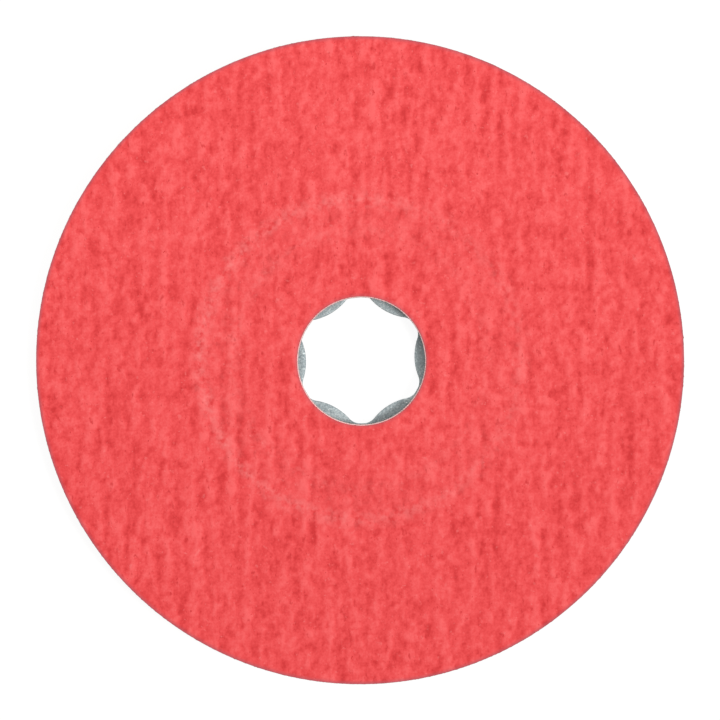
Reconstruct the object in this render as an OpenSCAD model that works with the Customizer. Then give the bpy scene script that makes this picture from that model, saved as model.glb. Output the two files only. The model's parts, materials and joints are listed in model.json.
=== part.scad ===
// Quick-mount grinding disc: a vulcanised fibre disc with a bonded abrasive face, on a pressed steel
// cup whose six-lobed opening locks onto a backing pad. The disc's axis is Z, its grain side looks
// up, and the cup's floor lies on z = 0.

/* [Disc] */
// Diameter of the finished disc
disc_d = 115; // [95:1:180]
// Diameter of the hole punched through the fibre and the coats, which the pad's boss passes
hole_d = 23; // [20:0.1:28]
// How far the hole was punched off the disc's axis, along X
hole_shift_x = 0.27; // [-0.5:0.01:0.5]
// How far the hole was punched off the disc's axis, along Y
hole_shift_y = -0.14; // [-0.5:0.01:0.5]

/* [Layers] */
// Thickness of the vulcanised fibre
fibre_t = 0.8; // [0.5:0.05:1.2]
// Thickness of the resin coat that the grains are set in
make_coat_t = 0.1; // [0.05:0.01:0.2]
// Thickness of the bed of abrasive grains
grain_t = 0.45; // [0.2:0.05:1.2]
// Thickness of the resin coat that locks the grains
size_coat_t = 0.1; // [0.05:0.01:0.2]
// Thickness of the red cooling coat over everything
top_coat_t = 0.1; // [0.05:0.01:0.2]

/* [Plate seat] */
// How deep the plate's flange is pressed into the fibre's back
seat_depth = 0.1; // [0.05:0.01:0.12]
// Gap round the flange in its pressed seat
seat_gap = 0.2; // [0.1:0.05:0.4]
// Thickness of the adhesive film between flange and fibre
bond_t = 0.15; // [0.15:0.01:0.25]

/* [Steel plate] */
// Thickness of the sheet steel
plate_t = 1; // [0.8:0.05:1.2]
// Outer diameter of the drawn cup, which centres the disc in its pad
cup_d = 44.8; // [37:0.1:54]
// Height of the straight part of the cup's wall, between its two bends
wall_h = 1; // [0.5:0.05:2]
// Width of the bonding flange, from the cup's wall to its rim
flange_w = 6; // [3:0.1:9]
// Radius inside each bend of the sheet
bend_r = 0.2; // [0.1:0.05:0.4]
// How far the plate was bonded off the disc's axis, along X
plate_shift_x = 0.02; // [-0.5:0.01:0.5]
// How far the plate was bonded off the disc's axis, along Y
plate_shift_y = 0.21; // [-0.5:0.01:0.5]

/* [Lobed opening] */
// Number of lobes that reach into the opening
lobes = 6; // [3:1:6]
// How far the opening's root circle lies inside the punched hole's radius
root_inset = 0.02; // [0:0.02:0.5]
// How far each lobe reaches in from the root circle
lobe_depth = 1.8; // [1:0.02:2.2]
// Radius of each lobe's rounded tip
lobe_r = 10.1; // [6:0.1:10.5]
// Radius that runs each lobe into the root circle
corner_r = 2.7; // [0.5:0.1:2.8]
// How far the first lobe is turned from X, in degrees
lobe_turn = 1.6; // [0:0.1:60]

/* [Hidden] */
$fn = 180;
cut = 1; // how far a cut runs past the face that it opens

// The bends of the plate, its flange and its opening
bend_outer_r = bend_r + plate_t;
cup_r = cup_d / 2;
flange_flat_r = cup_r + bend_r;
flange_r = cup_r + flange_w;
root_r = hole_d / 2 - root_inset;
tip_r = root_r - lobe_depth;
lobe_c = tip_r + lobe_r;

// The arcs beside each lobe, kept small enough that neighbours do not meet halfway between two lobes
nip = 0.02; // how far an arc cuts into the two circles that it joins
halfway = lobe_c * cos(180 / lobes);
widest_r = (root_r * root_r + lobe_c * lobe_c - lobe_r * lobe_r - 2 * root_r * halfway)
           / (2 * (lobe_r + root_r - halfway));
arc_r = min(corner_r, 0.9 * widest_r);
arc_c = root_r - arc_r + nip;
arc_turn = acos((lobe_c * lobe_c + arc_c * arc_c - pow(lobe_r + arc_r - nip, 2)) / (2 * lobe_c * arc_c));

// The stack, from the cup's floor at z = 0 up
flange_z = bend_outer_r + wall_h + bend_r;
flange_top_z = flange_z + plate_t;
seat_z = flange_top_z + bond_t;
fibre_z = seat_z - seat_depth;
make_coat_z = fibre_z + fibre_t;
grain_z = make_coat_z + make_coat_t;
size_coat_z = grain_z + grain_t;
top_coat_z = size_coat_z + size_coat_t;

// One flat layer of the disc, with the punched hole through it.
module punched_layer(z, thickness) {
    difference() {
        translate([0, 0, z]) cylinder(d = disc_d, h = thickness);
        translate([hole_shift_x, hole_shift_y, z - cut]) cylinder(d = hole_d, h = thickness + 2 * cut);
    }
}

// A flat ring, about the plate's axis.
module plate_ring(inner_r, outer_r, z, thickness) {
    translate([plate_shift_x, plate_shift_y, z]) difference() {
        cylinder(r = outer_r, h = thickness);
        translate([0, 0, -cut]) cylinder(r = inner_r, h = thickness + 2 * cut);
    }
}

// A quarter of a bend in the sheet: side is the corner of a unit square that the quarter fills.
module bend(side) {
    intersection() {
        difference() {
            circle(r = bend_outer_r);
            circle(r = bend_r);
        }
        translate([side[0] < 0 ? -bend_outer_r : 0, side[1] < 0 ? -bend_outer_r : 0])
            square(bend_outer_r);
    }
}

// Half of the plate's section: floor, drawn wall and flange, joined by the two bends.
module plate_section() {
    square([cup_r - bend_outer_r, plate_t]);
    translate([cup_r - bend_outer_r, bend_outer_r]) bend([1, -1]);
    translate([cup_r - plate_t, bend_outer_r]) square([plate_t, wall_h]);
    translate([flange_flat_r, flange_z - bend_r]) bend([-1, 1]);
    translate([flange_flat_r, flange_z]) square([flange_r - flange_flat_r, plate_t]);
}

// Fills the corner beside a lobe, up to an arc that joins the lobe to the root circle: side is 1 or -1.
// The filled corner lies between the arc's centre, a point past the root circle and the lobe's centre.
module rounded_corner(side) {
    turn = side * arc_turn;
    centre = arc_c * [cos(turn), sin(turn)];
    beyond = (root_r + cut) * [cos(turn), sin(turn)];
    difference() {
        polygon([centre, beyond, [lobe_c, 0]]);
        translate(centre) circle(r = arc_r);
    }
}

// The opening: a round hole, less the rounded lobes that reach into it and their rounded corners.
module lobed_outline() {
    difference() {
        circle(r = root_r);
        for (k = [0 : lobes - 1]) rotate(lobe_turn + k * 360 / lobes) {
            translate([lobe_c, 0]) circle(r = lobe_r);
            rounded_corner(1);
            rounded_corner(-1);
        }
    }
}

// Punched fibre disc, with the seat that the flange is pressed into.
module fibre_backing() {
    color([0.66, 0.52, 0.40]) difference() {
        punched_layer(fibre_z, fibre_t);
        plate_ring(flange_flat_r - seat_gap, flange_r + seat_gap, fibre_z - cut, seat_depth + cut);
    }
}

module make_coat() {
    color([0.45, 0.26, 0.12]) punched_layer(make_coat_z, make_coat_t);
}

module abrasive_grain() {
    color([0.62, 0.36, 0.30]) punched_layer(grain_z, grain_t);
}

module size_coat() {
    color([0.50, 0.28, 0.14]) punched_layer(size_coat_z, size_coat_t);
}

module top_coat() {
    color([0.95, 0.34, 0.34]) punched_layer(top_coat_z, top_coat_t);
}

// Adhesive between the flange's flat and the bottom of the seat.
module bond_film() {
    color([0.82, 0.74, 0.55]) plate_ring(flange_flat_r, flange_r, flange_top_z, bond_t);
}

// Pressed steel cup: bonding flange, drawn wall, and a floor with the lobed opening.
module mounting_plate() {
    color([0.70, 0.74, 0.74]) translate([plate_shift_x, plate_shift_y, 0]) difference() {
        rotate_extrude() plate_section();
        translate([0, 0, -cut]) linear_extrude(plate_t + 2 * cut) lobed_outline();
    }
}

fibre_backing();
make_coat();
abrasive_grain();
size_coat();
top_coat();
bond_film();
mounting_plate();
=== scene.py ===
# %% [markdown]
# # A quick-mount grinding disc
#
# This lesson dresses a small engineering model: a red fibre grinding disc with a pressed steel cup on
# its back. The frame holds every piece at its real size. Each cell below takes one piece or one finish,
# says what it is on the real disc, and builds it with numpy arrays and shader nodes.

# %% Load the frame
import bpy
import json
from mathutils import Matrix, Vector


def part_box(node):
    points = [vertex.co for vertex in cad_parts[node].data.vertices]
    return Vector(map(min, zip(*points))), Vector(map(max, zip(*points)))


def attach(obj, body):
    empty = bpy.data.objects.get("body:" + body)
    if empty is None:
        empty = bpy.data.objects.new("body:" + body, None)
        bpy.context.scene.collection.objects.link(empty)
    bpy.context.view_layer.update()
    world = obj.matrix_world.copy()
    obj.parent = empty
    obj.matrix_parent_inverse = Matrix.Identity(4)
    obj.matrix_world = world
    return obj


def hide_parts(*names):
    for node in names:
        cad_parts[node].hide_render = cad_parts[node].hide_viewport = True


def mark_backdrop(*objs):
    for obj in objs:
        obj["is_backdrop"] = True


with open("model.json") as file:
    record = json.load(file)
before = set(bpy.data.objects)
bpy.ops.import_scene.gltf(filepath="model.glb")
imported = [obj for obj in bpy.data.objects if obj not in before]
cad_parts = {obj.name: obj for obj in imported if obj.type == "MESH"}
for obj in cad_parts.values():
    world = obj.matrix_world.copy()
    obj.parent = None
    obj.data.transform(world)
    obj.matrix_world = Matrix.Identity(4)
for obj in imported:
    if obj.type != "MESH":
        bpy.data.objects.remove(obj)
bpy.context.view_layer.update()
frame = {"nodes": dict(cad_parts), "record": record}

import json
import math

import bmesh
import bpy
import numpy as np
from mathutils import Vector

MM = 0.001  # the frame is in metres, and the shapes below are worked out in millimetres
nodes = frame["nodes"]
mounts = {mount["name"]: mount for mount in frame["record"]["mounts"]}
print("frame nodes:", sorted(nodes))

# %% [markdown]
# ## Sizes from the frame
#
# A dressed piece has to lie exactly where the engineering piece lies. Measuring the frame's own
# vertices is safer than typing the sizes again: when the frame changes, the dressing follows it.

# %% Measure the disc and its hole


def points_of(node):
    """All vertices of a frame node, as rows of x, y, z in millimetres."""
    mesh = nodes[node].data
    flat = np.empty(len(mesh.vertices) * 3, np.float32)
    mesh.vertices.foreach_get("co", flat)
    return flat.reshape(-1, 3) / MM


def levels_of(node):
    """The lowest and highest z of a node, in millimetres."""
    low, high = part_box(node)
    return low.z / MM, high.z / MM


coat = points_of("top_coat")
coat_r = np.hypot(coat[:, 0], coat[:, 1])
RIM_R = coat_r.max()
at_hole = coat[coat_r < RIM_R / 2, :2]
HOLE = (at_hole.max(0) + at_hole.min(0)) / 2
HOLE_R = np.ptp(at_hole, axis=0).mean() / 2
FIBRE_LOW, FIBRE_TOP = levels_of("fibre_backing")
FACE_LOW, FACE_TOP = levels_of("top_coat")
print(f"disc r {RIM_R:.2f}, hole r {HOLE_R:.2f} at {HOLE.round(2)}, face {FACE_LOW:.2f} to {FACE_TOP:.2f} mm")

# %% Measure the steel cup and its lobed opening
CUP = np.array(mounts["cup_wall"]["pos_m"][:2]) / MM
CUP_R = mounts["cup_wall"]["dims"]["r_mm"]
plate = points_of("mounting_plate")
plate[:, :2] -= CUP
plate_r = np.hypot(plate[:, 0], plate[:, 1])
FLANGE_R = plate_r.max()
FLANGE_TOP = plate[:, 2].max()
FLANGE_MID = (CUP_R + FLANGE_R) / 2

opening = plate[plate_r < HOLE_R]
opening_r = np.hypot(opening[:, 0], opening[:, 1])
opening_angle = np.arctan2(opening[:, 1], opening[:, 0])
by_angle = opening_angle.argsort()
OUTLINE = opening_angle[by_angle], opening_r[by_angle]
ROOT_R = opening_r.max()
SHEET_T = opening[:, 2].max()
print(f"cup r {CUP_R:.2f} at {CUP.round(2)}, flange r {FLANGE_R:.2f}, sheet {SHEET_T:.2f} mm")
print(f"opening: {len(opening)} points between r {opening_r.min():.2f} and {ROOT_R:.2f}")

# %% [markdown]
# ## From arrays to a mesh
#
# A surface that is worked out as a grid of points only needs its four-sided faces spelled out once.
# numpy can write all of them together, and Blender takes whole arrays with `foreach_set`, which is
# many times faster than adding vertices one by one.

# %% Grids, closed rings and mesh objects


def wrapped_quads(rows, columns):
    """Faces of a grid that closes on itself both ways: each joins a point to its next row and column."""
    index = np.arange(rows * columns).reshape(rows, columns)
    below, beside = np.roll(index, -1, 0), np.roll(index, -1, 1)
    across = np.roll(below, -1, 1)
    return np.stack([index, beside, across, below], -1).reshape(-1, 4)


def inside_volume(points, faces):
    """Six times the volume that the faces enclose, positive when they point outwards."""
    a, b, c = (points[faces[:, k]] for k in range(3))
    total = (a * np.cross(b, c)).sum()
    if faces.shape[1] == 4:
        d = points[faces[:, 3]]
        total += (a * np.cross(c, d)).sum()
    return total


def mesh_object(name, points_mm, faces, sharp_degrees=40, **attributes):
    """A mesh from rows of points and rows of corner numbers, with one named value per point if given."""
    if inside_volume(points_mm, faces) < 0:
        faces = faces[:, ::-1]
    mesh = bpy.data.meshes.new(name)
    mesh.vertices.add(len(points_mm))
    mesh.vertices.foreach_set("co", (points_mm * MM).astype(np.float32).ravel())
    mesh.loops.add(faces.size)
    mesh.loops.foreach_set("vertex_index", faces.astype(np.int32).ravel())
    mesh.polygons.add(len(faces))
    mesh.polygons.foreach_set("loop_start", np.arange(0, faces.size, faces.shape[1], dtype=np.int32))
    mesh.update(calc_edges=True)
    mesh.shade_smooth()
    mesh.set_sharp_from_angle(angle=math.radians(sharp_degrees))
    for key, values in attributes.items():
        layer = mesh.attributes.new(key, "FLOAT", "POINT")
        layer.data.foreach_set("value", values.astype(np.float32).ravel())
    piece = bpy.data.objects.new(name, mesh)
    bpy.context.collection.objects.link(piece)
    print(f"{name}: {len(points_mm)} points, {len(faces)} faces")
    return piece


print("a closed grid of 3 by 4 points has", len(wrapped_quads(3, 4)), "faces")

# %% [markdown]
# ## Smooth random fields
#
# Coatings, fibres and grains are never quite even. One way to get such an unevenness is Perlin noise.
# Here the waves themselves are chosen: white noise is taken apart into waves, each wave is weighed by
# how strongly its length shows on the real surface, and the sum is put together again. That gives full
# control over stripes, clouds and grain at the same time.

# %% Random fields with chosen waves


def random_field(shape, step, bells, seed):
    """Noise whose waves are weighed by bell curves over frequency, in waves per millimetre.

    Each bell is (strength, centre along columns, spread along columns, spread along rows). The field
    has mean 0 and spread 1, and it wraps round at its edges.
    """
    waves = np.fft.fft2(np.random.default_rng(seed).standard_normal(shape))
    down = np.abs(np.fft.fftfreq(shape[0], step[0]))[:, None]
    along = np.abs(np.fft.fftfreq(shape[1], step[1]))[None, :]
    power = sum(
        strength * np.exp(-((along - centre) ** 2) / (2 * wide**2) - down**2 / (2 * high**2))
        for strength, centre, wide, high in bells
    )
    field = np.real(np.fft.ifft2(waves * np.sqrt(power)))
    return (field - field.mean()) / field.std()


print("helper for random fields is ready")

# %% [markdown]
# ## The red grain face
#
# The face is a bed of hard grains under a coat of resin and a soft red cooling coat. The coat dries in
# ripples that run one way across the sheet it was cut from, so the finished disc shows short streaks,
# about four millimetres apart, with clouds and pits between them.
#
# A flat ring with a bump map would look right from above and wrong at a low angle. So the ripples are
# real relief: a fine grid of heights, cut to the disc's outline. The cells at the two edges are pulled
# onto the circles, and the same height field is kept as a value per point for the material.

# %% The ripple field
CELL_X, CELL_Y = 0.26, 0.43  # finer across the streaks than along them
STREAK_SPACING = 3.78
RIPPLE_SHARE, GRAIN_SHARE = 0.83, 0.56  # how strongly each field colours the coat

# Each bell: its strength, its centre and spread along X, and its spread along Y.
STREAKS = (7.6, 1 / STREAK_SPACING, 0.055, 0.068)
LONG_STREAKS = (9.0, 0.25, 0.14, 0.020)
CLOUDS = (1.9, 0.0, 0.17, 0.14)
SHORT_STREAKS = (0.98, 0.0, 0.36, 0.26)
GRAINS = (0.25, 0.0, 0.51, 0.51)

half_columns = math.ceil(RIM_R / CELL_X) + 1
half_rows = math.ceil(RIM_R / CELL_Y) + 1
field_shape = (2 * half_rows + 1, 2 * half_columns + 1)
field_step = (CELL_Y, CELL_X)
ripple = random_field(field_shape, field_step, [STREAKS, LONG_STREAKS, CLOUDS, SHORT_STREAKS], seed=7)
grain = random_field(field_shape, field_step, [GRAINS], seed=8)
# the tone is darker in the ripples' valleys, partly painted shade, and paler on their crests, partly painted
# highlight
tone = RIPPLE_SHARE * ripple + GRAIN_SHARE * grain
print(f"ripple field: {field_shape} points, darkest {tone.min():.1f}, lightest {tone.max():.1f}")

# %% Cut the field to the ring


def kept_cells(x, y, outer_r):
    """Faces of the grid cells whose middle lies between the hole's circle and the rim's."""
    index = np.arange(x.size).reshape(x.shape)
    quads = np.stack([index[:-1, :-1], index[:-1, 1:], index[1:, 1:], index[1:, :-1]], -1)
    mid_x, mid_y = (x[:-1, :-1] + x[1:, 1:]) / 2, (y[:-1, :-1] + y[1:, 1:]) / 2
    within_rim = np.hypot(mid_x, mid_y) < outer_r
    beyond_hole = np.hypot(mid_x - HOLE[0], mid_y - HOLE[1]) > HOLE_R
    return quads[within_rim & beyond_hole]


def open_edges(faces):
    """The directed edges that only one face uses, as rows of two corner numbers."""
    corners = faces.shape[1]
    pairs = np.concatenate([faces[:, [k, (k + 1) % corners]] for k in range(corners)])
    size = int(pairs.max()) + 1
    forward = pairs[:, 0] * size + pairs[:, 1]
    backward = pairs[:, 1] * size + pairs[:, 0]
    return pairs[~np.isin(forward, backward)]


def pull_to_circle(points, which, centre, radius):
    """Moves the chosen points straight out or in from the centre until they lie on the circle."""
    away = points[which, :2] - centre
    points[which, :2] = centre + away * (radius / np.hypot(*away.T))[:, None]


AXIS = np.zeros(2)
FACE_R = RIM_R - 0.03  # the punch tears the soft coat back a little from the rim
RELIEF, GRAIN_RELIEF = 0.045, 0.018  # how far the ripples and the grains move its top
COAT_T, COAT_MIN = 0.065, 0.015  # usual and least thickness
POOL = 0.02  # how softly a wet coat levels out in a pit, which never bares the resin
PAINTED_LIGHT_DRIFT = 0.18  # painted light: how much paler the coat is painted towards +Y, as if more light fell on that side

x_line = np.arange(-half_columns, half_columns + 1) * CELL_X
y_line = np.arange(-half_rows, half_rows + 1) * CELL_Y
grid_x, grid_y = np.meshgrid(x_line, y_line)
used, face_quads = np.unique(kept_cells(grid_x, grid_y, FACE_R), return_inverse=True)
face_quads = face_quads.reshape(-1, 4)
wet = (COAT_T + RELIEF * ripple + GRAIN_RELIEF * grain) / POOL
heights = COAT_MIN + POOL * np.logaddexp(0, wet)
face_points = np.stack([grid_x.ravel(), grid_y.ravel(), heights.ravel()], -1)[used]
# painted light: the tone is made paler towards +Y
face_tone_and_light = (tone + PAINTED_LIGHT_DRIFT * grid_y / RIM_R).ravel()[used]

border = open_edges(face_quads)
on_border = np.unique(border)
near_rim = np.hypot(*face_points[on_border, :2].T) > RIM_R / 2
pull_to_circle(face_points, on_border[near_rim], AXIS, FACE_R)
pull_to_circle(face_points, on_border[~near_rim], HOLE, HOLE_R)
print(f"face: {len(face_quads)} cells, {len(on_border)} points on the two cut edges")

# %% Roll the coat down at the cut edges
ROLL, ROLL_W = 0.6, 0.36  # how much thinner the coat gets at a cut edge, and over what width
HOLE_EDGE_SHADE = 0.55  # the painted shade at the hole's edge is weaker than at the rim

from_rim = FACE_R - np.hypot(*face_points[:, :2].T)
from_hole = np.hypot(*(face_points[:, :2] - HOLE).T) - HOLE_R
nearness = np.exp(-((np.minimum(from_rim, from_hole) / ROLL_W) ** 2))
face_points[:, 2] = FACE_LOW + face_points[:, 2] * (1 - ROLL * nearness)
# painted shade: a value per point that darkens the coat's colour near the cut edges
face_edge_shade = nearness * np.where(from_rim < from_hole, 1.0, HOLE_EDGE_SHADE)
print(f"face: {face_points[:, 2].min():.2f} to {face_points[:, 2].max():.2f} mm high")

# %% Hang the skirts and close the underside
SKIRT = 0.02  # how far the coat's underside is sunk into the resin

skirt_index = np.full(len(face_points), -1)
skirt_index[on_border] = len(face_points) + np.arange(len(on_border))
skirt_points = face_points[on_border].copy()
skirt_points[:, 2] = FACE_LOW - SKIRT
skirt_faces = np.column_stack([border[:, ::-1], skirt_index[border]])
face_values = {
    "tone": np.concatenate([face_tone_and_light, face_tone_and_light[on_border]]),
    "edge": np.concatenate([face_edge_shade, face_edge_shade[on_border]]),
}
red_face = mesh_object(
    "red_grain_face",
    np.concatenate([face_points, skirt_points]),
    np.concatenate([face_quads, skirt_faces]),
    sharp_degrees=60,
    **face_values,
)


def close_flat(piece):
    """Fills between a piece's open outlines with one flat layer of triangles."""
    shell = bmesh.new()
    shell.from_mesh(piece.data)
    outline = [edge for edge in shell.edges if edge.is_boundary]
    bmesh.ops.triangle_fill(shell, edges=outline, use_beauty=False, normal=(0, 0, -1))
    bmesh.ops.recalc_face_normals(shell, faces=shell.faces)
    left_open = sum(edge.is_boundary for edge in shell.edges)
    shell.to_mesh(piece.data)
    shell.free()
    print(f"{piece.name}: closed underneath, {left_open} edges left open")


close_flat(red_face)
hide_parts("top_coat")
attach(red_face, "root")

# %% [markdown]
# ## Rings with a carried profile
#
# Every other piece is a ring: a closed profile carried once round an axis. Blender's Screw modifier
# could do it, but these rings are not quite round: the hole was punched a little off the disc's axis,
# and the steel cup sits a little off it too. So each stop on the profile names its own centre, and a
# stop may follow the lobed outline of the opening instead of a circle.

# %% Stops of a profile


def stop(centre, radius, z, rough=0.0, lobed=0.0):
    """One point of a profile: its circle's centre and radius, its height, its roughness and lobe share."""
    return (*centre, radius, z, rough, lobed)


def rounded(centre, corner_r, corner_z, bend_r, start, end, count=6, rough=0.0, lobed=0.0):
    """Stops round a quarter of a circle whose middle is at corner_r, corner_z: angles are in degrees."""
    angles = np.radians(np.linspace(start, end, count))
    return [
        stop(centre, corner_r + bend_r * math.cos(a), corner_z + bend_r * math.sin(a), rough, lobed)
        for a in angles
    ]


def straight(first, last, count):
    """Stops between two others, both ends left out: every value runs evenly from first to last."""
    shares = np.linspace(0, 1, count + 2)[1:-1, None]
    return [tuple(row) for row in np.array(first) + shares * (np.array(last) - np.array(first))]


print("a stop on the root circle:", np.round(stop(CUP, ROOT_R, 0), 2))

# %% Carry a profile round the disc
STOP_STEP = 0.25  # how far apart a random field takes two stops to be
TORN = (1.0, 0.0, 1.2, 0.5)  # the waves of a sheared edge


def opening_radius(angle):
    """The lobed opening's radius at an angle, read between the frame's own points on its outline."""
    return np.interp(angle, *OUTLINE, period=2 * math.pi)


def normals_of(points):
    """Unit normals of a ring: the cross product of the steps to the next column and to the next stop."""
    to_stop = np.roll(points, -1, 0) - np.roll(points, 1, 0)
    to_column = np.roll(points, -1, 1) - np.roll(points, 1, 1)
    normal = np.cross(to_column, to_stop)
    return normal / (np.linalg.norm(normal, axis=-1, keepdims=True) + 1e-12)


def carried_round(name, profile, columns, seed, wave=TORN, sharp_degrees=40):
    """A closed ring: the profile's stops are carried round, then each point moves along its normal.

    The move is a random field times the stop's own roughness, and no layer rises into the next one.
    """
    centre_x, centre_y, radius, z, rough, lobed = np.array(profile).T[:, :, None]
    angle = np.arange(columns) * 2 * math.pi / columns
    reach = radius + lobed * (opening_radius(angle) - ROOT_R)
    x, y = centre_x + reach * np.cos(angle), centre_y + reach * np.sin(angle)
    points = np.stack([x, y, np.broadcast_to(z, x.shape)], -1)
    if rough.any():
        spacing = 2 * math.pi * RIM_R / columns
        field = random_field(x.shape, (STOP_STEP, spacing), [wave], seed)
        points += normals_of(points) * (rough * field)[..., None]
        points[..., 2] = points[..., 2].clip(z.min(), z.max())
    return mesh_object(name, points.reshape(-1, 3), wrapped_quads(*x.shape), sharp_degrees)


print("opening radius at X:", opening_radius(0.0).round(2))

# %% [markdown]
# ## The cut edges of the coated layers
#
# The disc is punched from a coated sheet, so all layers end in one sheared edge, at the rim and at the
# hole. Under the red coat come the size coat, the bed of grains, the make coat and the vulcanised
# fibre. Hard grains break or tear out along the cut, and resin breaks clean. At the hole, the punch
# drags each layer a little further in than the one above it.
#
# One slab with painted stripes would be simpler, but its stripes would all share one smooth edge. So
# each layer is a ring of its own, and one function makes all three from the levels of their nodes.

# %% The two resin coats and the bed of grains
CUT_COLUMNS = 1500


def cut_layer(name, node, rim_setback, drag, rough, seed, wall_stops):
    """A flat ring between a frame node's two levels: rough cut walls, flat hidden faces."""
    low, top = levels_of(node)
    rim, hole = RIM_R - rim_setback, HOLE_R - drag
    outer = [stop(AXIS, rim, z, rough) for z in np.linspace(top, low, wall_stops)]
    inner = [stop(HOLE, hole, z, rough) for z in np.linspace(low, top, wall_stops)]
    under = straight(stop(AXIS, rim, low), stop(HOLE, hole, low), 3)
    over = straight(stop(HOLE, hole, top), stop(AXIS, rim, top), 3)
    ring = carried_round(name, [*outer, *under, *inner, *over], CUT_COLUMNS, seed)
    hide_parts(node)
    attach(ring, "root")
    return ring


size_resin = cut_layer("size_resin", "size_coat", 0.02, drag=0.01, rough=0.012, seed=21, wall_stops=3)
grain_bed = cut_layer("grain_bed", "abrasive_grain", 0.02, drag=0.02, rough=0.030, seed=22, wall_stops=7)
make_resin = cut_layer("make_resin", "make_coat", 0.01, drag=0.03, rough=0.010, seed=23, wall_stops=3)

# %% [markdown]
# ## The fibre backing
#
# Vulcanised fibre is paper pressed into a horn-like sheet. The back shows three flats: the outer ring
# that lies on the pad, the seat that the steel flange was pressed into, and the ring over the cup's
# hollow. Its lower cut edges are rounded where the punch pressed them in. At the hole the tough fibre is
# dragged a fifth of a millimetre in and up beside the coats, and that lip is the pale line round it.
#
# The seat could be cut by a Boolean, which would leave loose triangles. Here it is a part of the same
# profile: its stops lie about the cup's axis, those of the rim and the hole about their own.

# %% The pressed seat
SEAT_Z = levels_of("bond_film")[1]
SEAT_STEP = 0.3  # how far up the step its steepest part begins
SOFT = 0.06  # how wide the seat's pressed steps are rounded

fibre = points_of("fibre_backing")
in_seat = np.hypot(*(fibre[np.abs(fibre[:, 2] - SEAT_Z) < 0.01, :2] - CUP).T)
SEAT_IN, SEAT_OUT = in_seat.min(), in_seat.max()
step_z = FIBRE_LOW + (SEAT_Z - FIBRE_LOW) * SEAT_STEP
seat_outer = [
    stop(CUP, SEAT_OUT + SOFT, FIBRE_LOW),
    stop(CUP, SEAT_OUT, step_z),
    stop(CUP, SEAT_OUT - SOFT / 2, SEAT_Z),
]
seat_inner = [
    stop(CUP, SEAT_IN + SOFT / 2, SEAT_Z),
    stop(CUP, SEAT_IN, step_z),
    stop(CUP, SEAT_IN - SOFT, FIBRE_LOW),
]
print(f"seat: r {SEAT_IN:.2f} to {SEAT_OUT:.2f} mm, {SEAT_Z - FIBRE_LOW:.2f} mm deep")

# %% The fibre disc, its lip and its rolled edges
FIBRE_ROLL = 0.12
LIP = 0.21  # how far the tough fibre drags into the hole as the punch goes through
LIP_R = HOLE_R - LIP
DRAG_Z = FIBRE_TOP + 0.42  # how high it is dragged up beside the coats
RIM_ROUGH, WALL_ROUGH, LIP_ROUGH = 0.012, 0.022, 0.03
SLACK = 0.03  # how far the lip's top is drawn in on both its sides
TUCK = 0.02  # how far the rim's top leans in, and the lip's foot tucks under the coats

rim_wall = stop(AXIS, RIM_R, FIBRE_LOW + FIBRE_ROLL, RIM_ROUGH)
rim_top = stop(AXIS, RIM_R - TUCK, FIBRE_TOP, RIM_ROUGH / 2)
hole_wall = stop(HOLE, LIP_R, FIBRE_LOW + FIBRE_ROLL, WALL_ROUGH)
hole_top = stop(HOLE, LIP_R + SLACK, DRAG_Z, LIP_ROUGH)
lip_back = stop(HOLE, HOLE_R - SLACK, DRAG_Z, LIP_ROUGH)
lip_foot = stop(HOLE, HOLE_R + TUCK, FIBRE_TOP)
back_rim = stop(AXIS, RIM_R - FIBRE_ROLL, FIBRE_LOW)
back_hole = stop(HOLE, LIP_R + FIBRE_ROLL, FIBRE_LOW)
fibre_profile = [
    rim_top,
    *straight(rim_top, rim_wall, 4),
    rim_wall,
    *rounded(AXIS, RIM_R - FIBRE_ROLL, FIBRE_LOW + FIBRE_ROLL, FIBRE_ROLL, -18, -90, 5),
    *straight(back_rim, seat_outer[0], 12),
    *seat_outer,
    *straight(seat_outer[-1], seat_inner[0], 2),
    *seat_inner,
    *straight(seat_inner[-1], back_hole, 4),
    *rounded(HOLE, LIP_R + FIBRE_ROLL, FIBRE_LOW + FIBRE_ROLL, FIBRE_ROLL, -90, -162, 5),
    hole_wall,
    *straight(hole_wall, hole_top, 4),
    hole_top,
    lip_back,
    lip_foot,
    *straight(lip_foot, rim_top, 3),
]
fibre_disc = carried_round("fibre_disc", fibre_profile, 1200, seed=31)
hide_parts("fibre_backing")
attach(fibre_disc, "root")

# %% [markdown]
# ## The steel cup
#
# The cup is one pressing of galvanised sheet. Its flange is bonded to the fibre, its drawn wall centres
# the disc in the pad, and its floor carries the six-lobed opening that locks on the pad's boss. Punched
# steel has a well rounded edge on one side and a tight one on the other, and drawn steel bends in true
# arcs, so both are in the profile.

# %% Press the cup
BEND_IN = 0.2
BEND_OUT = BEND_IN + SHEET_T
FLANGE_LOW = FLANGE_TOP - SHEET_T
PUNCH_ROLL, TIGHT = 0.14, 0.05  # radius of the edge where the punch enters, and where it leaves
FLOOR_ROUND_R = 16.0  # from here outwards the floor's rings are plain circles

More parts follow.
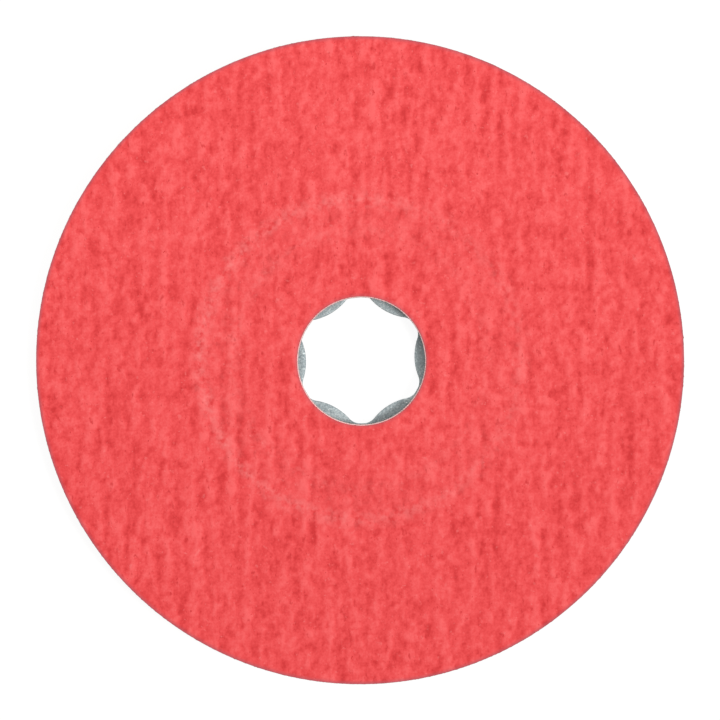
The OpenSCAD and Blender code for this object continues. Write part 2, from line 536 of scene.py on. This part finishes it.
edge_top = stop(CUP, ROOT_R + PUNCH_ROLL, SHEET_T, lobed=1)
edge_low = stop(CUP, ROOT_R + TIGHT, 0, lobed=1)
wall_low = stop(CUP, ROOT_R, TIGHT, lobed=1)
wall_top = stop(CUP, ROOT_R, SHEET_T - PUNCH_ROLL, lobed=1)
floor_top = stop(CUP, FLOOR_ROUND_R, SHEET_T)
floor_low = stop(CUP, FLOOR_ROUND_R, 0)
cup_profile = [
    *rounded(CUP, ROOT_R + PUNCH_ROLL, SHEET_T - PUNCH_ROLL, PUNCH_ROLL, 180, 90, 6, lobed=1),
    *straight(edge_top, floor_top, 8),
    floor_top,
    *rounded(CUP, CUP_R - BEND_OUT, BEND_OUT, BEND_IN, -90, 0, 5),
    *rounded(CUP, CUP_R + BEND_IN, FLANGE_LOW - BEND_IN, BEND_OUT, 180, 90, 9),
    stop(CUP, FLANGE_MID, FLANGE_TOP),
    *rounded(CUP, FLANGE_R - TIGHT, FLANGE_TOP - TIGHT, TIGHT, 90, 0, 3),
    *rounded(CUP, FLANGE_R - PUNCH_ROLL, FLANGE_LOW + PUNCH_ROLL, PUNCH_ROLL, 0, -90, 6),
    stop(CUP, FLANGE_MID, FLANGE_LOW),
    *rounded(CUP, CUP_R + BEND_IN, FLANGE_LOW - BEND_IN, BEND_IN, 90, 180, 5),
    *rounded(CUP, CUP_R - BEND_OUT, BEND_OUT, BEND_OUT, 0, -90, 9),
    floor_low,
    *straight(floor_low, edge_low, 8),
    *rounded(CUP, ROOT_R + TIGHT, TIGHT, TIGHT, 270, 180, 3, lobed=1),
    *straight(wall_low, wall_top, 4),
]
steel_cup = carried_round("steel_cup", cup_profile, 1200, seed=41, sharp_degrees=50)
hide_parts("mounting_plate")
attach(steel_cup, "root")

# %% [markdown]
# ## The adhesive film
#
# The film between flange and fibre is hidden, but some adhesive is pressed out along the flange's rim
# and sets there as a bead. A smooth random field makes the bead swell and thin on its way round.

# %% The film and its pressed-out bead
BEAD_R = 0.13
BEAD_MID, BEAD_LOW = 0.15, 0.30  # how far under the seat the bead's middle and its foot lie
BEAD_ROUGH, FOOT_ROUGH = 0.035, 0.012
GAP = 0.02  # between the flange's rim and the bead's middle
FOOT, TAPER = 0.03, 0.02  # how far the bead's foot stands out, and how far it tapers down
SWELL = (1.0, 0.0, 0.3, 0.3)  # long soft waves

bead_rim = FLANGE_R + GAP
film_in = CUP_R + BEND_IN
film_profile = [
    stop(CUP, film_in, SEAT_Z),
    stop(CUP, FLANGE_MID, SEAT_Z),
    stop(CUP, bead_rim + BEAD_R, SEAT_Z),
    *rounded(CUP, bead_rim, SEAT_Z - BEAD_MID, BEAD_R, 60, -40, 6, rough=BEAD_ROUGH),
    stop(CUP, bead_rim + FOOT, SEAT_Z - BEAD_LOW, FOOT_ROUGH),
    stop(CUP, bead_rim - GAP, SEAT_Z - BEAD_LOW - TAPER),
    stop(CUP, bead_rim - GAP, FLANGE_TOP),
    stop(CUP, FLANGE_MID, FLANGE_TOP),
    stop(CUP, film_in, FLANGE_TOP),
]
glue_bead = carried_round("glue_bead", film_profile, 900, seed=51, wave=SWELL)
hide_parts("bond_film")
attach(glue_bead, "root")

# %% [markdown]
# ## Nodes in plain words
#
# A material is a small network of nodes. A few helpers keep the networks readable: one adds a node and
# wires its inputs, and the others are built on it. They do arithmetic, pick and blend colours, and turn
# heights into relief.

# %% Helpers for nodes, sums and places


def put(tree, kind, inputs=(), **settings):
    """Adds a node: settings are its own properties, and inputs are sockets by name or number."""
    made = tree.nodes.new(kind)
    for key, value in settings.items():
        setattr(made, key, value)
    for key, value in dict(inputs).items():
        if isinstance(value, bpy.types.NodeSocket):
            tree.links.new(value, made.inputs[key])
        else:
            made.inputs[key].default_value = value
    return made


def maths(tree, operation, first, second=0.0, third=0.0, clamp=False):
    """The result of one sum on two or three values or sockets."""
    inputs = {0: first, 1: second, 2: third}
    return put(tree, "ShaderNodeMath", inputs, operation=operation, use_clamp=clamp).outputs[0]


def vectors(tree, operation, first, second):
    """The vector that one sum on two vectors gives."""
    return put(tree, "ShaderNodeVectorMath", {0: first, 1: second}, operation=operation).outputs[0]


def place(tree):
    """Where a point lies on its piece, in millimetres."""
    coordinates = put(tree, "ShaderNodeTexCoord").outputs["Object"]
    return vectors(tree, "MULTIPLY", coordinates, (1 / MM, 1 / MM, 1 / MM))


print("helpers for nodes, sums and places are ready")

# %% Helpers for colour and relief
MIX_COLOURS = {"share": 0, "under": 6, "over": 7, "result": 2}  # a Mix node's sockets for colours


def colour_ramp(tree, factor, stops):
    """A colour for each factor: stops are pairs of position and colour, lowest first."""
    made = put(tree, "ShaderNodeValToRGB", {"Fac": factor})
    elements = made.color_ramp.elements
    while len(elements) < len(stops):
        elements.new(0.5)
    for element, (position, colour) in zip(elements, stops):
        element.position = position
        element.color = (*colour, 1.0)
    return made.outputs["Color"]


def blend_colours(tree, share, under, over):
    """The plain colour over, laid on the colour socket under by the given share."""
    inputs = {MIX_COLOURS["share"]: share, MIX_COLOURS["under"]: under, MIX_COLOURS["over"]: (*over, 1.0)}
    return put(tree, "ShaderNodeMix", inputs, data_type="RGBA").outputs[MIX_COLOURS["result"]]


def relief(tree, height, strength, depth_mm):
    """Surface normals tilted by a height, where a height of 1 stands for the given depth."""
    inputs = {"Height": height, "Strength": strength, "Distance": depth_mm * MM}
    return put(tree, "ShaderNodeBump", inputs).outputs[0]


print("helpers for colour and relief are ready")

# %% Helpers for groups and materials


def shader_group(name, defaults, result):
    """An empty group with named number inputs and one output: returns its tree, inputs and outputs."""
    tree = bpy.data.node_groups.new(name, "ShaderNodeTree")
    for key, default in defaults.items():
        socket = tree.interface.new_socket(key, in_out="INPUT", socket_type="NodeSocketFloat")
        socket.default_value = default
    tree.interface.new_socket(result, in_out="OUTPUT", socket_type="NodeSocketFloat")
    return tree, tree.nodes.new("NodeGroupInput").outputs, tree.nodes.new("NodeGroupOutput").inputs


def use(tree, group, **values):
    """Places a group in a material; an underscore in a value's name stands for a space."""
    inputs = {key.replace("_", " "): value for key, value in values.items()}
    return put(tree, "ShaderNodeGroup", inputs, node_tree=group).outputs[0]


def new_material(name):
    """A material with only a Principled surface: returns the material, its tree and the surface node."""
    material = bpy.data.materials.new(name)
    material.use_nodes = True
    return material, material.node_tree, material.node_tree.nodes["Principled BSDF"]


def wire(tree, surface, **sockets):
    """Links sockets to the surface; an underscore stands for a space."""
    for key, socket in sockets.items():
        tree.links.new(socket, surface.inputs[key.replace("_", " ")])


def dress(material, *pieces):
    """Makes a material the only one of each piece."""
    for piece in pieces:
        piece.data.materials.clear()
        piece.data.materials.append(material)
    print(material.name, "is on", [piece.name for piece in pieces])


print("helpers for groups and materials are ready")

# %% [markdown]
# ## Effects that are used again and again
#
# - **mottle** is a cloudiness of any size: resin, fibre, steel and the red coat all have it.
# - **pressed ring** is a band round the cup's axis. The tool that pressed the flange onto the fibre left
#   such bands on the grain side, one over each edge of the flange.
#
# Each is a node group, so it is built once, and a material places it with values of its own.

# %% Mottle


def build_mottle():
    """Cloudy noise of a given size in millimetres, stretched along Y, and spread over the span 0 to 1."""
    defaults = {"Size": 1.0, "Detail": 3.0, "Stretch": 1.0, "Shift": 0.0}
    tree, given, out = shader_group("mottle", defaults, "Value")
    shrink = maths(tree, "DIVIDE", 1.0, given["Stretch"])
    squeeze = put(tree, "ShaderNodeCombineXYZ", {0: 1.0, 1: shrink, 2: 1.0}).outputs[0]
    inputs = {
        "Vector": vectors(tree, "MULTIPLY", place(tree), squeeze),
        "Scale": maths(tree, "DIVIDE", 1.0, given["Size"]),
        "Detail": given["Detail"],
        "W": given["Shift"],
    }
    noise = put(tree, "ShaderNodeTexNoise", inputs, noise_dimensions="4D").outputs["Fac"]
    tree.links.new(maths(tree, "MULTIPLY_ADD", noise, 2.2, -0.6, clamp=True), out["Value"])
    return tree


MOTTLE = build_mottle()
print("group:", MOTTLE.name)

# %% Pressed ring
EVEN_SHARE, LEAN = 0.74, 0.26  # the tool pressed harder on the -X side


def build_pressed_ring():
    """A band round the cup's axis: one minus the distance over the half width, stronger on the -X side."""
    tree, given, out = shader_group("pressed ring", {"Radius": 20.0, "Half Width": 0.5}, "Mask")
    centred = vectors(tree, "SUBTRACT", place(tree), (*CUP, 0.0))
    flat = vectors(tree, "MULTIPLY", centred, (1.0, 1.0, 0.0))
    distance = put(tree, "ShaderNodeVectorMath", {0: flat}, operation="LENGTH").outputs["Value"]
    away = maths(tree, "ABSOLUTE", maths(tree, "SUBTRACT", distance, given["Radius"]))
    band = maths(tree, "SUBTRACT", 1.0, maths(tree, "DIVIDE", away, given["Half Width"]), clamp=True)
    across = put(tree, "ShaderNodeSeparateXYZ", {0: flat}).outputs["X"]
    side = maths(tree, "DIVIDE", across, given["Radius"])
    pressure = maths(tree, "MULTIPLY_ADD", side, -LEAN, EVEN_SHARE)
    tree.links.new(maths(tree, "MULTIPLY", band, pressure, clamp=True), out["Mask"])
    return tree


PRESSED_RING = build_pressed_ring()
print("group:", PRESSED_RING.name)

# %% [markdown]
# ## The red cooling coat
#
# The coat is a chalky filler in a little resin: dull and strongly coloured. Its red is darker in the
# ripples' valleys and pits and paler on their crests: partly the coat pooling thick or lying thin, partly
# painted shade in the hollows and painted highlight on the crests. The ripple field is stored on the mesh
# as `tone`, so colour and relief agree. Finer marks are smaller than the mesh's cells, so the shader adds
# them.

# %% The reds, from the pits to the crests
RED_PIT_SHADE, RED_DARK_AND_SHADE = (0.60, 0.027, 0.029), (0.70, 0.044, 0.046)
RED, RED_PALE_AND_HIGHLIGHT = (0.80, 0.068, 0.070), (0.88, 0.113, 0.113)
TONE_GAIN, GRIT_GAIN, CREASE_GAIN = 0.129, 0.27, 0.14  # how strongly each layer moves the red
PAINTED_CREASE_SHADE = 0.12  # painted shade: how much darker the deepest creases are painted


def coat_reds(tree, grit, creases):
    """Stored tone, grit and creases are summed to choose a red, and the deepest creases get painted shade."""
    # the stored tone also carries the painted light that makes the coat paler towards +Y
    stored = put(tree, "ShaderNodeAttribute", attribute_name="tone").outputs["Fac"]
    level = maths(tree, "MULTIPLY_ADD", stored, TONE_GAIN, 0.5)
    level = maths(tree, "ADD", level, maths(tree, "MULTIPLY_ADD", grit, GRIT_GAIN, -0.13))
    level = maths(tree, "ADD", level, maths(tree, "MULTIPLY_ADD", creases, CREASE_GAIN, -0.07))
    crease_shade_mask = maths(tree, "MULTIPLY_ADD", creases, -3.0, 1.0, clamp=True)
    level = maths(tree, "SUBTRACT", level, maths(tree, "MULTIPLY", crease_shade_mask, PAINTED_CREASE_SHADE), clamp=True)
    # the ramp's dark end is partly painted shade in the hollows, its pale end partly painted highlight on the
    # crests
    return colour_ramp(tree, level, [(0.1, RED_PIT_SHADE), (0.28, RED_DARK_AND_SHADE), (0.5, RED), (0.80, RED_PALE_AND_HIGHLIGHT)])


print("reds:", RED_PIT_SHADE, RED_DARK_AND_SHADE, RED, RED_PALE_AND_HIGHLIGHT)

# %% [markdown]
# ## Marks smaller than a millimetre
#
# The coat has pits and pinholes, where a bubble burst, painted dark as painted shade in the hollows, pale
# flecks, where a grain rubs through, and glints, which are painted highlights. All four are the rare peaks
# of a mottle: a steep gain with an offset cuts away all but the peaks, and gives each mark a soft rim.

# %% Pits, flecks, pinholes and glints
# the pale of the real scuffs and flecks, and of the glints, which are painted highlights
PALE_SCUFF_AND_HIGHLIGHT = (0.90, 0.24, 0.23)


def peaks(tree, gain, offset, **cloudiness):
    """A mask of a mottle's peaks, or of its hollows where the gain is negative."""
    return maths(tree, "MULTIPLY_ADD", use(tree, MOTTLE, **cloudiness), gain, offset, clamp=True)


def small_marks(tree, colour, pits):
    """Lays pits, flecks, pinholes and glints on the colour, each with its own strength; pits and pinholes are
    painted shade, glints painted highlights.
    """
    flecks = peaks(tree, 5.0, -4.1, Size=0.80, Detail=4.0, Shift=90.0)
    pinholes = peaks(tree, -8.0, 1.0, Size=0.42, Detail=2.0, Stretch=1.5, Shift=60.0)
    glints = peaks(tree, 8.0, -7.0, Size=0.42, Detail=2.0, Shift=70.0)
    # pits and pinholes: painted shade in hollows; glints: painted highlights; flecks: grains rubbed through
    layers = ((pits, 0.8, RED_PIT_SHADE), (flecks, 0.30, PALE_SCUFF_AND_HIGHLIGHT), (pinholes, 0.9, RED_PIT_SHADE), (glints, 0.35, PALE_SCUFF_AND_HIGHLIGHT))
    for mask, strength, mark in layers:
        colour = blend_colours(tree, maths(tree, "MULTIPLY", mask, strength), colour, mark)
    return colour


print("scuffed colour:", PALE_SCUFF_AND_HIGHLIGHT)

# %% [markdown]
# ## Scuffs over the pressed flange
#
# Where the flange was pressed on from behind, the coat was rubbed pale: strongly over the flange's rim,
# less over its bend at the cup's wall, and faintly between the two. The rubbing caught only the high
# spots, so the bands are broken into patches and dots.

# %% Scuffed bands
SCUFF_STRENGTH = 0.67
BEND_SHARE, BETWEEN_SHARE = 0.46, 0.22  # how strong these two are beside the band over the rim
BAND_OVER_BEND = {"Radius": CUP_R + BEND_IN + 0.2, "Half_Width": 2.0}
BAND_OVER_RIM = {"Radius": FLANGE_R, "Half_Width": 2.3}
BAND_BETWEEN = {"Radius": FLANGE_MID, "Half_Width": 5.0}


def scuffs(tree, colour):
    """The strongest of three bands, times large patches, times small dots, is rubbed pale."""
    bands = maths(tree, "MULTIPLY", use(tree, PRESSED_RING, **BAND_OVER_BEND), BEND_SHARE)
    bands = maths(tree, "MAXIMUM", bands, use(tree, PRESSED_RING, **BAND_OVER_RIM))
    between = maths(tree, "MULTIPLY", use(tree, PRESSED_RING, **BAND_BETWEEN), BETWEEN_SHARE)
    bands = maths(tree, "MAXIMUM", bands, between)
    patchy = maths(tree, "MULTIPLY_ADD", use(tree, MOTTLE, Size=3.5, Detail=1.0, Shift=5.0), 0.5, 0.5)
    dots = peaks(tree, 1.8, -0.42, Size=0.9, Detail=3.0, Shift=3.0)
    scuffed = maths(tree, "MULTIPLY", maths(tree, "MULTIPLY", bands, patchy), dots)
    return blend_colours(tree, maths(tree, "MULTIPLY", scuffed, SCUFF_STRENGTH), colour, PALE_SCUFF_AND_HIGHLIGHT)


for stripe in (BAND_OVER_BEND, BAND_OVER_RIM, BAND_BETWEEN):
    print(f"band at r {stripe['Radius']:.1f} mm, {2 * stripe['Half_Width']:.1f} mm wide")

# %% Red coat material
EDGE_PAINTED_SHADE, EDGE_SHADE_STRENGTH = (0.37, 0.090, 0.112), 0.8  # painted shade: the rolled cut edges are painted dull and dark


def red_coat():
    """Chalky red: reds and small marks, scuffs, and painted shade at the cut edges, over a relief of grit and
    pits.
    """
    material, tree, surface = new_material("red_cooling_coat")
    grit = use(tree, MOTTLE, Size=0.42, Detail=3.0)
    creases = use(tree, MOTTLE, Size=0.85, Detail=2.0, Stretch=3.5, Shift=6.0)
    pits = peaks(tree, -5.0, 1.15, Size=0.90, Detail=4.0, Stretch=1.7, Shift=40.0)
    colour = coat_reds(tree, grit, creases)
    colour = small_marks(tree, colour, pits)
    colour = scuffs(tree, colour)
    # painted shade at the rolled cut edges
    painted_edge_shade = put(tree, "ShaderNodeAttribute", attribute_name="edge").outputs["Fac"]
    colour = blend_colours(tree, maths(tree, "MULTIPLY", painted_edge_shade, EDGE_SHADE_STRENGTH), colour, EDGE_PAINTED_SHADE)
    dust = use(tree, MOTTLE, Size=0.25, Detail=2.0, Shift=8.0)
    rough = maths(tree, "MULTIPLY_ADD", dust, 0.18, 0.66)
    height = maths(tree, "ADD", grit, maths(tree, "MULTIPLY_ADD", dust, 0.5, creases))
    height = maths(tree, "SUBTRACT", height, maths(tree, "MULTIPLY", pits, 1.2))
    wire(tree, surface, Base_Color=colour, Roughness=rough, Normal=relief(tree, height, 0.36, 0.08))
    surface.inputs["Specular IOR Level"].default_value = 0.30
    return material


dress(red_coat(), red_face)

# %% [markdown]
# ## Resin and grains on the cut edge
#
# Cured phenolic resin is a deep amber brown with a little gloss where it broke clean. The bed of grains
# shows the grains themselves, whitish to rusty, cut through and set in that resin. Thousands of small
# meshes would be heavy, and a mosaic of cells gives each grain its tint and its edge as well.

# %% Resin and grain materials
RESIN_DARK, RESIN = (0.11, 0.035, 0.014), (0.30, 0.115, 0.045)
GRAIN_RUST, GRAIN_RED, GRAIN_PALE = (0.46, 0.13, 0.10), (0.62, 0.22, 0.17), (0.66, 0.42, 0.36)
GRAINS_PER_MM = 2.4


def amber_resin():
    """Deep amber brown, clouded, and glossy in places."""
    material, tree, surface = new_material("amber_resin")
    cloud = use(tree, MOTTLE, Size=0.5, Detail=3.0)
    colour = colour_ramp(tree, cloud, [(0.1, RESIN_DARK), (0.9, RESIN)])
    rough = maths(tree, "MULTIPLY_ADD", cloud, 0.35, 0.25)
    wire(tree, surface, Base_Color=colour, Roughness=rough, Normal=relief(tree, cloud, 0.4, 0.05))
    return material


def cut_grains():
    """A mosaic of grains about 0.4 mm across, each with its own tint, in amber resin."""
    material, tree, surface = new_material("cut_grains")
    cells = {"Vector": place(tree), "Scale": GRAINS_PER_MM}
    tint = put(tree, "ShaderNodeTexVoronoi", cells).outputs["Color"]
    share = put(tree, "ShaderNodeSeparateColor", {0: tint}).outputs[0]
    gap = put(tree, "ShaderNodeTexVoronoi", cells, feature="DISTANCE_TO_EDGE").outputs["Distance"]
    stone = colour_ramp(tree, share, [(0.0, GRAIN_RUST), (0.55, GRAIN_RED), (1.0, GRAIN_PALE)])
    set_in = maths(tree, "SUBTRACT", 1.0, maths(tree, "MULTIPLY", gap, 9.0), clamp=True)
    colour = blend_colours(tree, set_in, stone, RESIN)
    rough = maths(tree, "MULTIPLY_ADD", share, 0.4, 0.35)
    domes = relief(tree, maths(tree, "MINIMUM", gap, 0.2), 0.8, 0.25)
    wire(tree, surface, Base_Color=colour, Roughness=rough, Normal=domes)
    return material


dress(amber_resin(), size_resin, make_resin)
dress(cut_grains(), grain_bed)

# %% [markdown]
# ## Vulcanised fibre
#
# The sheet is made of many plies of paper, so its face shows a faint felt of fibres and soft clouds,
# and its cut edge is paler and shows the plies as fine lines. It is tan, and dull with a slight
# horn-like sheen. Noise that is stretched in two directions makes the felt, and stays sharp at any size.
# Which way the surface faces tells the back from the cut and from the lip's top.

# %% Felt and plies
THREADS = ((0.5, 0.0), (-0.9, 9.0))  # each a direction in radians, and a shift of its noise
THREAD_SHAPE = (0.28, 2.6, 1.0)  # long along the thread, and thin across it
PLY_WAVES = {"Scale": 2.2, "Distortion": 1.5, "Detail": 2.0}


def felt_threads(tree, where):
    """The brighter of two noises, each stretched into long thin fibres in its own direction."""
    noises = []
    for turn, shift in THREADS:
        turned = {"Vector": where, "Rotation": (0.0, 0.0, turn), "Scale": THREAD_SHAPE}
        turned = put(tree, "ShaderNodeMapping", turned).outputs[0]
        inputs = {"Vector": turned, "Detail": 3.0, "W": shift}
        noises.append(put(tree, "ShaderNodeTexNoise", inputs, noise_dimensions="4D").outputs["Fac"])
    return maths(tree, "MAXIMUM", *noises)


def cut_plies(tree, where):
    """Fine level lines: waves along Z."""
    return put(tree, "ShaderNodeTexWave", {"Vector": where, **PLY_WAVES}, bands_direction="Z").outputs["Fac"]


print("threads at", [round(math.degrees(turn)) for turn, shift in THREADS], "degrees")

# %% Fibre material
FIBRE_DARK, FIBRE, FIBRE_LIGHT = (0.33, 0.195, 0.11), (0.47, 0.30, 0.185), (0.60, 0.43, 0.30)
FIBRE_CUT, LIP_PAINTED_LIGHT = (0.88, 0.66, 0.53), (1.00, 0.58, 0.59)


def vulcanised_fibre():
    """Tan felt on the back, paler plies where the sheet is cut, and painted light, a near-white pink, on what
    looks up.
    """
    material, tree, surface = new_material("vulcanised_fibre")
    where = place(tree)
    cloud = use(tree, MOTTLE, Size=6.0, Detail=4.0)
    felt = use(tree, MOTTLE, Size=0.35, Detail=3.0, Shift=4.0)
    thread = felt_threads(tree, where)
    level = maths(tree, "MULTIPLY_ADD", cloud, 0.45, maths(tree, "MULTIPLY_ADD", thread, 1.6, -0.64))
    level = maths(tree, "MULTIPLY_ADD", felt, 0.12, level, clamp=True)
    colour = colour_ramp(tree, level, [(0.15, FIBRE_DARK), (0.5, FIBRE), (1.0, FIBRE_LIGHT)])
    normal = put(tree, "ShaderNodeNewGeometry").outputs["Normal"]
    up = put(tree, "ShaderNodeSeparateXYZ", {0: normal}).outputs["Z"]
    on_cut = maths(tree, "GREATER_THAN", up, -0.5)
    ply = maths(tree, "MULTIPLY", cut_plies(tree, where), on_cut)
    colour = blend_colours(tree, maths(tree, "MULTIPLY", on_cut, 0.8), colour, FIBRE_CUT)
    colour = blend_colours(tree, maths(tree, "MULTIPLY", ply, 0.35), colour, FIBRE_DARK)
    # painted light: faces that look up, the lip's top, are painted near-white pink to lift them out of the
    # coats' shade
    colour = blend_colours(tree, maths(tree, "GREATER_THAN", up, 0.5), colour, LIP_PAINTED_LIGHT)
    rough = maths(tree, "MULTIPLY_ADD", level, 0.25, 0.50)
    height = maths(tree, "ADD", thread, maths(tree, "MULTIPLY_ADD", felt, 0.4, ply))
    wire(tree, surface, Base_Color=colour, Roughness=rough, Normal=relief(tree, height, 0.35, 0.06))
    return material


dress(vulcanised_fibre(), fibre_disc)

# %% [markdown]
# ## Galvanised steel
#
# Hot-dip zinc freezes in flat crystals, so galvanised sheet shows spangles: patches a few millimetres
# wide that each catch the light a little differently, under a fine grey speckle and a few pale flecks.
# A mosaic of random cells gives the crystals, once noise has bent its straight borders.

# %% Spangles and flecks in the zinc
SPANGLES_PER_MM = 0.55
FLECK_SIZE, FLECK_SQUASH = 0.9, 0.6  # spacing in millimetres, and how much shorter they are along Y
FLECK_SHARE, FLECK_RADIUS, FLECK_SHIFT = 0.30, 0.42, 20.0


def spangles(tree, where):
    """The random colour of each zinc crystal: cells of a mosaic whose borders a noise has bent."""
    bent = put(tree, "ShaderNodeTexNoise", {"Vector": where, "Scale": 0.7, "Detail": 2.0}).outputs["Color"]
    crystals = {"Vector": vectors(tree, "ADD", bent, where), "Scale": SPANGLES_PER_MM}
    tint = put(tree, "ShaderNodeTexVoronoi", crystals).outputs["Color"]
    return put(tree, "ShaderNodeSeparateColor", {0: tint}).outputs


def flecks_of_zinc(tree, where):
    """Small dots: each cell of a flat mosaic holds one, and a given share of the cells keep theirs."""
    squeezed = vectors(tree, "MULTIPLY", where, (1.0, 1 / FLECK_SQUASH, 0.0))
    moved = vectors(tree, "ADD", squeezed, (FLECK_SHIFT, FLECK_SHIFT, FLECK_SHIFT))
    mosaic = {"Vector": moved, "Scale": 1 / FLECK_SIZE}
    cells = put(tree, "ShaderNodeTexVoronoi", mosaic, voronoi_dimensions="2D").outputs
    chance = put(tree, "ShaderNodeSeparateColor", {0: cells["Color"]}).outputs[0]
    chosen = maths(tree, "LESS_THAN", chance, FLECK_SHARE)
    near = maths(tree, "DIVIDE", cells["Distance"], FLECK_RADIUS)
    near = maths(tree, "SUBTRACT", 1.0, near, clamp=True)
    return maths(tree, "MULTIPLY", chosen, maths(tree, "MULTIPLY", near, 2.0, clamp=True))


print(f"spangles about {1 / SPANGLES_PER_MM:.1f} mm wide, flecks about {FLECK_SIZE} mm apart")

# %% Steel material
ZINC_DARK, ZINC, ZINC_PALE = (0.19, 0.23, 0.245), (0.375, 0.43, 0.445), (0.63, 0.69, 0.69)
FLECK = (0.80, 0.85, 0.84)
CRYSTAL_GAIN, CLOUD_GAIN, SPECKLE_GAIN = 0.22, 0.22, 0.70  # how strongly each moves the grey


def galvanised_steel():
    """Zinc spangles: crystals of random brightness and roughness, with fine speckle and faint scratches."""
    material, tree, surface = new_material("galvanised_steel")
    where = place(tree)
    crystal = spangles(tree, where)
    speckle = use(tree, MOTTLE, Size=0.34, Detail=3.0)
    cloud = use(tree, MOTTLE, Size=3.0, Detail=3.0, Shift=2.0)
    level = maths(tree, "MULTIPLY", cloud, CLOUD_GAIN)
    level = maths(tree, "MULTIPLY_ADD", crystal[0], CRYSTAL_GAIN, level)
    level = maths(tree, "SUBTRACT", level, 0.05)
    level = maths(tree, "MULTIPLY_ADD", speckle, SPECKLE_GAIN, level, clamp=True)
    colour = colour_ramp(tree, level, [(0.1, ZINC_DARK), (0.5, ZINC), (0.95, ZINC_PALE)])
    grainy = maths(tree, "MULTIPLY_ADD", speckle, 3.0, -1.3, clamp=True)
    dots = maths(tree, "MULTIPLY", flecks_of_zinc(tree, where), grainy)
    colour = blend_colours(tree, maths(tree, "MULTIPLY", dots, 0.7), colour, FLECK)
    drawn = {"Vector": where, "Rotation": (0.0, 0.0, 0.7), "Scale": (0.15, 9.0, 1.0)}
    drawn = put(tree, "ShaderNodeMapping", drawn).outputs[0]
    scratch = put(tree, "ShaderNodeTexNoise", {"Vector": drawn, "Detail": 2.0}).outputs["Fac"]
    rough = maths(tree, "MULTIPLY_ADD", speckle, 0.12, 0.34)
    rough = maths(tree, "MULTIPLY_ADD", crystal[1], 0.16, rough)
    height = maths(tree, "ADD", maths(tree, "MULTIPLY", speckle, 0.6), maths(tree, "MULTIPLY", scratch, 0.7))
    wire(tree, surface, Base_Color=colour, Roughness=rough, Normal=relief(tree, height, 0.25, 0.03))
    surface.inputs["Metallic"].default_value = 0.70
    return material


dress(galvanised_steel(), steel_cup)

# %% [markdown]
# ## Adhesive
#
# The glue is a hard amber-yellow resin that sets smooth. A few broad clouds in its colour are enough.

# %% Adhesive material
GLUE_DARK, GLUE_PALE = (0.42, 0.27, 0.10), (0.62, 0.46, 0.22)


def adhesive():
    """Amber yellow, smooth, with a few clouds."""
    material, tree, surface = new_material("adhesive")
    cloud = use(tree, MOTTLE, Size=1.5, Detail=3.0)
    colour = colour_ramp(tree, cloud, [(0.1, GLUE_DARK), (0.9, GLUE_PALE)])
    rough = maths(tree, "MULTIPLY_ADD", cloud, 0.2, 0.22)
    wire(tree, surface, Base_Color=colour, Roughness=rough)
    return material


dress(adhesive(), glue_bead)

# %% [markdown]
# ## Floor, light and camera
#
# The disc lies on its cup, grain side up, and is looked at from straight above through a long lens, so
# the rim is a true circle. A broad white sky fills every shadow, one soft lamp from the right lifts the
# ripples, and a weak one close by reaches the steel in the hole. The floor is seen from above only:
# from below it lets the view through.

# %% Floor and sky
FLOOR_SIZE = 3.0
FLOOR_GREY, FLOOR_GLOW = (0.15, 0.15, 0.15, 1.0), 0.90
WHITE = (1.0, 1.0, 1.0, 1.0)
SKY = 0.52


def pale_floor():
    """A matt sheet that glows evenly, so shadows stay faint, and is invisible from underneath."""
    half = FLOOR_SIZE / 2
    corners = [(-half, -half, 0), (half, -half, 0), (half, half, 0), (-half, half, 0)]
    mesh = bpy.data.meshes.new("floor")
    mesh.from_pydata(corners, [], [(0, 1, 2, 3)])
    floor = bpy.data.objects.new("floor", mesh)
    bpy.context.collection.objects.link(floor)
    material, tree, surface = new_material("pale_floor")
    surface.inputs["Base Color"].default_value = FLOOR_GREY
    surface.inputs["Roughness"].default_value = 0.9
    surface.inputs["Specular IOR Level"].default_value = 0.0
    surface.inputs["Emission Color"].default_value = WHITE
    surface.inputs["Emission Strength"].default_value = FLOOR_GLOW
    see_through = put(tree, "ShaderNodeBsdfTransparent")
    behind = put(tree, "ShaderNodeNewGeometry").outputs["Backfacing"]
    mix = put(tree, "ShaderNodeMixShader", {0: behind, 1: surface.outputs[0], 2: see_through.outputs[0]})
    tree.links.new(mix.outputs[0], tree.nodes["Material Output"].inputs["Surface"])
    dress(material, floor)
    floor.visible_diffuse = floor.visible_glossy = floor.visible_shadow = False
    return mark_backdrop(floor)


def white_sky():
    """An even white world."""
    world = bpy.data.worlds.new("white_sky")
    world.use_nodes = True
    background = world.node_tree.nodes["Background"]
    background.inputs["Color"].default_value = WHITE
    background.inputs["Strength"].default_value = SKY
    bpy.context.scene.world = world


pale_floor()
white_sky()
print(f"floor {FLOOR_SIZE} m wide, sky {SKY}")

# %% Lamps


def soft_lamp(name, place_at, size, power):
    """A square lamp that looks at the middle of the disc."""
    data = bpy.data.lights.new(name, "AREA")
    data.size = size
    data.energy = power
    lamp = bpy.data.objects.new(name, data)
    lamp.location = place_at
    lamp.rotation_euler = (-Vector(place_at)).to_track_quat("-Z", "Y").to_euler()
    bpy.context.collection.objects.link(lamp)
    print(f"{name}: {size} m wide, {power} W")


soft_lamp("key_lamp", (1.10, -0.40, 2.21), size=0.65, power=29.0)
soft_lamp("fill_lamp", (0.0, 0.30, 0.35), size=0.25, power=0.60)

# %% Camera
VIEW_WIDTH = 127.72 * MM  # how much of the disc's plane the picture takes in
VIEW_X, VIEW_Y = -0.02 * MM, 0.04 * MM  # the view's middle lies a little off the disc's axis
VIEW_DISTANCE = 0.8

lens = bpy.data.cameras.new("camera")
lens.sensor_width = 36.0
lens.lens = lens.sensor_width * VIEW_DISTANCE / VIEW_WIDTH
camera = bpy.data.objects.new("camera", lens)
camera.location = (VIEW_X, VIEW_Y, VIEW_DISTANCE + FACE_TOP * MM)
bpy.context.collection.objects.link(camera)
bpy.context.scene.camera = camera
bpy.context.scene.view_settings.view_transform = "Standard"
print(f"lens {lens.lens:.0f} mm at {VIEW_DISTANCE} m")
